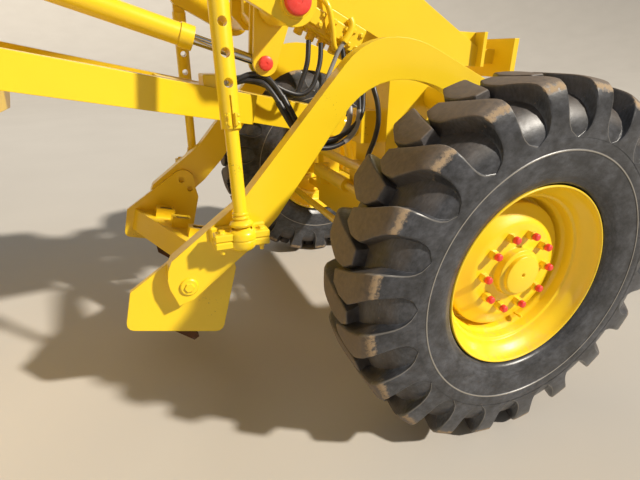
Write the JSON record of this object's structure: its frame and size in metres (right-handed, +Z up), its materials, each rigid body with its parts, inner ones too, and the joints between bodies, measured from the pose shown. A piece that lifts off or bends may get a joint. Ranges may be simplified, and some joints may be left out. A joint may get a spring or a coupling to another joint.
{
  "type": "motor grader",
  "caption": "Six-wheel road grader with a rigid frame, raised curved scarifier behind the front axle, circle-mounted blade, lift cylinders, cab and rear engine.",
  "frame": {"origin": "on the ground under the middle of the machine", "axes": "+X forward, +Y to the left side of the machine, +Z up"},
  "size_m": [8.235, 3.1, 3.18],
  "materials": {
    "paint": "construction yellow enamel",
    "glass": "clear laminated",
    "trim": "moulded vinyl and plastic",
    "steel": "worn bare steel",
    "black_paint": "satin black enamel",
    "chrome": "hard chrome plate",
    "tyre": "dusty tread rubber"
  },
  "bodies": {
    "chassis": {"front_frame": "paint", "saddle": "paint", "rear_frame": "paint", "front_axle": "paint", "lean_linkage": "paint", "steer_barrel": "paint", "cab_body": "paint", "cab_glass": "glass", "seat": "trim", "console": "trim", "engine_hood": "paint", "engine_block": "steel", "exhaust": "black_paint", "fuel_tank": "paint", "rear_axle": "paint", "tandem_left": "paint", "tandem_right": "paint", "steps": "black_paint"},
    "knuckle_left": {"knuckle_left": "paint"},
    "knuckle_right": {"knuckle_right": "paint"},
    "tie_rod": {"tie_rod": "paint"},
    "steer_rod": {"steer_rod": "chrome"},
    "wheel_front_left": {"tyre_front_left": "tyre", "rim_front_left": "paint"},
    "wheel_front_right": {"tyre_front_right": "tyre", "rim_front_right": "paint"},
    "wheel_mid_left": {"tyre_mid_left": "tyre", "rim_mid_left": "paint"},
    "wheel_mid_right": {"tyre_mid_right": "tyre", "rim_mid_right": "paint"},
    "wheel_rear_left": {"tyre_rear_left": "tyre", "rim_rear_left": "paint"},
    "wheel_rear_right": {"tyre_rear_right": "tyre", "rim_rear_right": "paint"},
    "scarifier": {"scarifier_frame": "paint", "scarifier_teeth": "steel"},
    "scarifier_shaft": {"scarifier_shaft": "paint"},
    "scarifier_link_left": {"scarifier_link_left": "paint"},
    "scarifier_link_right": {"scarifier_link_right": "paint"},
    "scarifier_barrel": {"scarifier_barrel": "paint"},
    "scarifier_rod": {"scarifier_rod": "chrome"},
    "drawbar": {"drawbar": "paint", "circle_drive": "paint"},
    "circle": {"circle_ring": "paint"},
    "tilt_bracket": {"tilt_bracket": "paint"},
    "moldboard": {"moldboard": "paint", "shift_rod": "chrome"},
    "tip_barrel": {"tip_barrel": "paint"},
    "tip_rod": {"tip_rod": "chrome"},
    "lift_barrel_left": {"lift_barrel_left": "paint"},
    "lift_barrel_right": {"lift_barrel_right": "paint"},
    "lift_rod_left": {"lift_rod_left": "chrome"},
    "lift_rod_right": {"lift_rod_right": "chrome"},
    "centre_barrel": {"centre_barrel": "paint"},
    "centre_rod": {"centre_rod": "chrome"},
    "door_left": {"door_left": "paint", "door_glass_left": "glass"},
    "door_right": {"door_right": "paint", "door_glass_right": "glass"}
  },
  "joints": [
    {"name": "steer", "type": "hinge", "parent": "chassis", "child": "knuckle_left", "pos_m": [3.4325, 0.91, 0.685], "axis": [0, 0, 1], "range_deg": [-32, 32]},
    {"name": "steer_right", "type": "hinge", "parent": "chassis", "child": "knuckle_right", "pos_m": [3.4325, -0.91, 0.685], "axis": [0, 0, 1], "range_deg": [-32.5, 32.5]},
    {"name": "tie_rod_turn", "type": "hinge", "parent": "knuckle_left", "child": "tie_rod", "pos_m": [3.1925, 0.78, 0.575], "axis": [0, 0, 1], "range_deg": [-45, 45]},
    {"name": "steer_rod_slide", "type": "slide", "parent": "chassis", "child": "steer_rod", "axis": [0, 1, 0], "range_m": [-0.085, 0.085]},
    {"name": "wheel_front_left", "type": "hinge", "parent": "knuckle_left", "child": "wheel_front_left", "pos_m": [3.4325, 0.97, 0.685], "axis": [0, 1, 0], "continuous": true},
    {"name": "wheel_front_right", "type": "hinge", "parent": "knuckle_right", "child": "wheel_front_right", "pos_m": [3.4325, -0.97, 0.685], "axis": [0, 1, 0], "continuous": true},
    {"name": "wheel_mid_left", "type": "hinge", "parent": "chassis", "child": "wheel_mid_left", "pos_m": [-1.6075, 0.97, 0.685], "axis": [0, 1, 0], "continuous": true},
    {"name": "wheel_mid_right", "type": "hinge", "parent": "chassis", "child": "wheel_mid_right", "pos_m": [-1.6075, -0.97, 0.685], "axis": [0, 1, 0], "continuous": true},
    {"name": "wheel_rear_left", "type": "hinge", "parent": "chassis", "child": "wheel_rear_left", "pos_m": [-3.1275, 0.97, 0.685], "axis": [0, 1, 0], "continuous": true},
    {"name": "wheel_rear_right", "type": "hinge", "parent": "chassis", "child": "wheel_rear_right", "pos_m": [-3.1275, -0.97, 0.685], "axis": [0, 1, 0], "continuous": true},
    {"name": "scarifier_lift", "type": "hinge", "parent": "chassis", "child": "scarifier", "pos_m": [3.6325, 0, 1.225], "axis": [0, 1, 0], "range_deg": [-9, 0]},
    {"name": "scarifier_shaft_turn", "type": "hinge", "parent": "chassis", "child": "scarifier_shaft", "pos_m": [2.7745, 0, 1.582], "axis": [0, 1, 0], "range_deg": [-35.6, 0]},
    {"name": "scarifier_link_left_turn", "type": "hinge", "parent": "scarifier", "child": "scarifier_link_left", "pos_m": [2.5135, 0.64, 0.802], "axis": [0, 1, 0], "range_deg": [0, 3.6]},
    {"name": "scarifier_link_right_turn", "type": "hinge", "parent": "scarifier", "child": "scarifier_link_right", "pos_m": [2.5135, -0.64, 0.802], "axis": [0, 1, 0], "range_deg": [0, 3.6]},
    {"name": "scarifier_barrel_turn", "type": "hinge", "parent": "chassis", "child": "scarifier_barrel", "pos_m": [1.7785, -0.209, 1.681], "axis": [0, 1, 0], "range_deg": [-2.6, 0]},
    {"name": "scarifier_rod_slide", "type": "slide", "parent": "scarifier_barrel", "child": "scarifier_rod", "axis": [0.9537, 0, -0.3009], "range_m": [0, 0.118]},
    {"name": "drawbar_lift", "type": "hinge", "parent": "chassis", "child": "drawbar", "pos_m": [3.2725, 0, 1.075], "axis": [0, 1, 0], "range_deg": [-18, 0]},
    {"name": "lift_barrel_left_turn", "type": "hinge", "parent": "chassis", "child": "lift_barrel_left", "pos_m": [1.1475, 0.66, 2.05], "axis": [0, 1, 0], "range_deg": [0, 3.8]},
    {"name": "lift_rod_left_slide", "type": "slide", "parent": "lift_barrel_left", "child": "lift_rod_left", "axis": [0.0332, 0, -0.9994], "range_m": [0, 0.675]},
    {"name": "lift_barrel_right_turn", "type": "hinge", "parent": "chassis", "child": "lift_barrel_right", "pos_m": [1.1475, -0.66, 2.05], "axis": [0, 1, 0], "range_deg": [0, 3.8]},
    {"name": "lift_rod_right_slide", "type": "slide", "parent": "lift_barrel_right", "child": "lift_rod_right", "axis": [0.0332, 0, -0.9994], "range_m": [0, 0.675]},
    {"name": "centre_barrel_turn", "type": "hinge", "parent": "chassis", "child": "centre_barrel", "pos_m": [0.9825, 0.36, 1.96], "axis": [1, 0, 0], "range_deg": [0, 34]},
    {"name": "centre_rod_slide", "type": "slide", "parent": "centre_barrel", "child": "centre_rod", "axis": [0, -0.9124, -0.4094], "range_m": [0, 0.48]},
    {"name": "circle_turn", "type": "hinge", "parent": "drawbar", "child": "circle", "pos_m": [1.05844, 0, 1.403], "axis": [0.1994, 0, 0.9799], "range_deg": [-45, 45]},
    {"name": "blade_tip", "type": "hinge", "parent": "circle", "child": "tilt_bracket", "pos_m": [0.90395, 0, 0.94459], "axis": [0, 1, 0], "range_deg": [-20, 20]},
    {"name": "tip_barrel_turn", "type": "hinge", "parent": "circle", "child": "tip_barrel", "pos_m": [0.47579, 0, 1.34806], "axis": [0, 1, 0], "range_deg": [-2.5, 2.5]},
    {"name": "tip_rod_slide", "type": "slide", "parent": "tip_barrel", "child": "tip_rod", "axis": [0.8708, 0, -0.4916], "range_m": [-0.052, 0.052]},
    {"name": "blade_shift", "type": "slide", "parent": "tilt_bracket", "child": "moldboard", "axis": [0, 1, 0], "range_m": [-0.4, 0.4]},
    {"name": "door_left", "type": "hinge", "parent": "chassis", "child": "door_left", "pos_m": [-1.1995, 0.755, 2.27], "axis": [0, 0, 1], "range_deg": [0, 95]},
    {"name": "door_right", "type": "hinge", "parent": "chassis", "child": "door_right", "pos_m": [-1.1995, -0.755, 2.27], "axis": [0, 0, -1], "range_deg": [0, 95]}
  ],
  "couplings": [
    {"joint": "steer_right", "follows": "steer", "ratio": 1},
    {"joint": "tie_rod_turn", "follows": "steer", "ratio": -1.155},
    {"joint": "steer_rod_slide", "follows": "steer", "m_per_rad": 0.14232},
    {"joint": "scarifier_shaft_turn", "follows": "scarifier_lift", "ratio": 3.9367},
    {"joint": "scarifier_link_left_turn", "follows": "scarifier_lift", "ratio": -0.3899},
    {"joint": "scarifier_link_right_turn", "follows": "scarifier_lift", "ratio": -0.3899},
    {"joint": "scarifier_barrel_turn", "follows": "scarifier_lift", "ratio": 0.2853},
    {"joint": "scarifier_rod_slide", "follows": "scarifier_lift", "m_per_rad": -0.74026},
    {"joint": "lift_barrel_left_turn", "follows": "drawbar_lift", "ratio": -0.2},
    {"joint": "lift_rod_left_slide", "follows": "drawbar_lift", "m_per_rad": -2.1383},
    {"joint": "lift_barrel_right_turn", "follows": "drawbar_lift", "ratio": -0.2},
    {"joint": "lift_rod_right_slide", "follows": "drawbar_lift", "m_per_rad": -2.1383},
    {"joint": "centre_barrel_turn", "follows": "drawbar_lift", "ratio": -1.85},
    {"joint": "centre_rod_slide", "follows": "drawbar_lift", "m_per_rad": -1.4961},
    {"joint": "tip_barrel_turn", "follows": "blade_tip", "ratio": -0.085},
    {"joint": "tip_rod_slide", "follows": "blade_tip", "m_per_rad": 0.13694}
  ]
}
